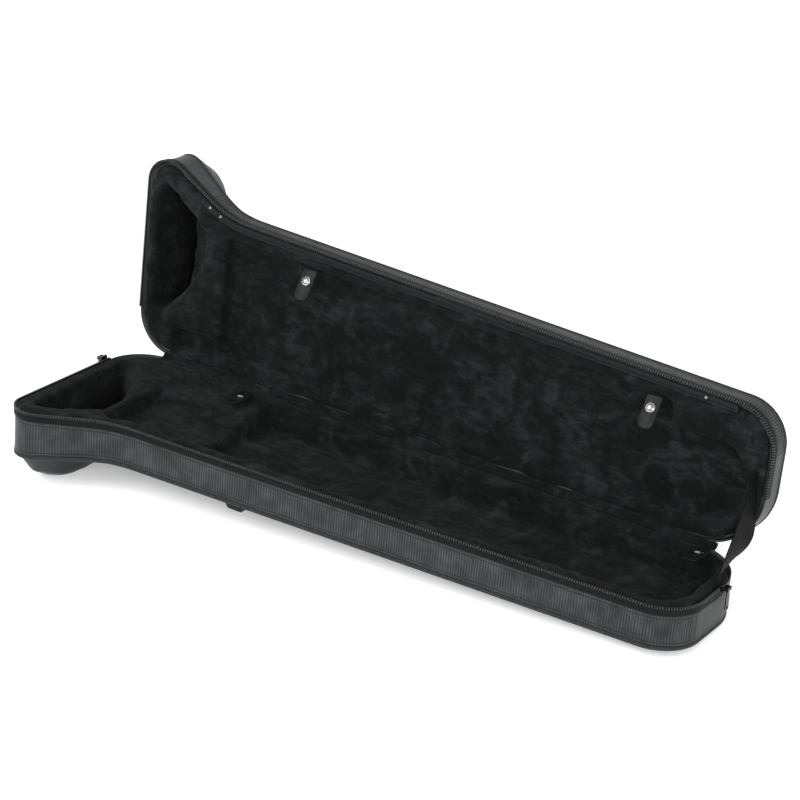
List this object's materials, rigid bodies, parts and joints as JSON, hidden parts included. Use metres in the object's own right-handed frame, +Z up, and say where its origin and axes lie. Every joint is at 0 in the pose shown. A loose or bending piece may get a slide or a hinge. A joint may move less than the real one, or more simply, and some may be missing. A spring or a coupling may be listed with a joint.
{
  "type": "trombone case",
  "caption": "Soft-covered trombone case standing open, with a bulge for the bell, plush-lined trays, snap straps, a perimeter zip and a carry handle on its spine.",
  "frame": {"origin": "middle of the open case's box, at floor level", "axes": "+X from the bell end to the narrow end, +Z up, the front of the base faces -Y and the open lid stands on the +Y side"},
  "size_m": [0.9634, 0.4014, 0.3608],
  "materials": {
    "nylon_cover": "satin",
    "ribbed_nylon": "matte",
    "piping_cloth": "satin",
    "black_plush": "matte",
    "plywood": "matte",
    "foam": "matte",
    "strap_leather": "satin",
    "nickel": "polished",
    "zip_tape": "matte",
    "zip_coil": "satin",
    "grip_rubber": "matte",
    "webbing": "matte"
  },
  "bodies": {
    "base": {"base_shell": "plywood", "base_foam_insert": "foam", "base_plush_lining": "black_plush", "base_face_panel": "nylon_cover", "base_piping": "piping_cloth", "base_ribbed_band": "ribbed_nylon", "base_plain_band": "nylon_cover", "base_zip_tape": "zip_tape", "base_zip_coil": "zip_coil", "base_throat_block": "black_plush", "hinge_cloth": "nylon_cover", "lid_stay": "webbing", "seam_tab": "webbing", "bell_strap_1_backing": "strap_leather", "bell_strap_1_snap_stud": "nickel", "bell_strap_2_backing": "strap_leather", "bell_strap_2_snap_stud": "nickel", "handle_bracket_1": "nickel", "handle_bracket_2": "nickel", "handle_rivet_1": "nickel", "handle_rivet_2": "nickel", "handle_rivet_3": "nickel", "handle_rivet_4": "nickel"},
    "lid": {"lid_shell": "foam", "lid_foam_insert": "foam", "lid_plush_lining": "black_plush", "lid_face_panel": "nylon_cover", "lid_piping": "piping_cloth", "lid_ribbed_band": "ribbed_nylon", "lid_plain_band": "nylon_cover", "lid_zip_tape": "zip_tape", "lid_zip_coil": "zip_coil", "zip_guard": "nylon_cover", "zip_guard_stud_1": "nickel", "zip_guard_stud_2": "nickel", "zip_guard_stud_3": "nickel", "slide_strap_1_backing": "strap_leather", "slide_strap_1_snap_stud": "nickel", "slide_strap_2_backing": "strap_leather", "slide_strap_2_snap_stud": "nickel"},
    "slide_strap_1": {"slide_strap_1_flap": "strap_leather", "slide_strap_1_snap_cap": "nickel"},
    "slide_strap_2": {"slide_strap_2_flap": "strap_leather", "slide_strap_2_snap_cap": "nickel"},
    "bell_strap_1": {"bell_strap_1_flap": "strap_leather", "bell_strap_1_snap_cap": "nickel"},
    "bell_strap_2": {"bell_strap_2_flap": "strap_leather", "bell_strap_2_snap_cap": "nickel"},
    "handle": {"handle_bail": "nickel", "handle_grip": "grip_rubber"},
    "bell_end_slider": {"bell_end_zip_slider": "nickel"},
    "bell_end_pull": {"bell_end_zip_pull_tab": "nickel"},
    "narrow_end_slider": {"narrow_end_zip_slider": "nickel"},
    "narrow_end_pull": {"narrow_end_zip_pull_tab": "nickel"}
  },
  "joints": [
    {"name": "lid_hinge", "type": "hinge", "parent": "base", "child": "lid", "pos_m": [-0.01078, 0.07223, 0.07496], "axis": [-0.9992, 0.0012, 0.0395], "range_deg": [-92.8, 0], "deforming": ["hinge_cloth", "lid_stay"]},
    {"name": "slide_strap_1_fold", "type": "hinge", "parent": "lid", "child": "slide_strap_1", "pos_m": [-0.19283, 0.09565, 0.26148], "axis": [-0.9992, 0.0012, 0.0395], "range_deg": [0, 80]},
    {"name": "slide_strap_2_fold", "type": "hinge", "parent": "lid", "child": "slide_strap_2", "pos_m": [0.31497, 0.0928, 0.22108], "axis": [-0.9992, 0.0012, 0.0395], "range_deg": [0, 80]},
    {"name": "bell_strap_1_fold", "type": "hinge", "parent": "base", "child": "bell_strap_1", "pos_m": [-0.26187, 0.04756, 0.08616], "axis": [-0.9992, 0.0012, 0.0395], "range_deg": [0, 100]},
    {"name": "bell_strap_2_fold", "type": "hinge", "parent": "base", "child": "bell_strap_2", "pos_m": [0.40959, 0.05773, 0.05894], "axis": [-0.9992, 0.0012, 0.0395], "range_deg": [0, 100]},
    {"name": "handle_pivot", "type": "hinge", "parent": "base", "child": "handle", "pos_m": [-0.03906, 0.08122, 0.05046], "axis": [0.9992, -0.0012, -0.0395], "range_deg": [-3, 86]},
    {"name": "bell_end_slider_run", "type": "slide", "parent": "base", "child": "bell_end_slider", "axis": [0.0012, -0.9981, 0.061], "range_m": [0, 0.16]},
    {"name": "bell_end_pull_hinge", "type": "hinge", "parent": "bell_end_slider", "child": "bell_end_pull", "pos_m": [-0.47924, 0.00632, 0.09755], "axis": [-0.0012, 0.9981, -0.061], "range_deg": [0, 100]},
    {"name": "narrow_end_slider_run", "type": "slide", "parent": "base", "child": "narrow_end_slider", "axis": [0.0012, -0.9981, 0.061], "range_m": [0, 0.035]},
    {"name": "narrow_end_pull_hinge", "type": "hinge", "parent": "narrow_end_slider", "child": "narrow_end_pull", "pos_m": [0.47924, -0.0162, 0.06095], "axis": [0.0012, -0.9981, 0.061], "range_deg": [0, 100]}
  ]
}
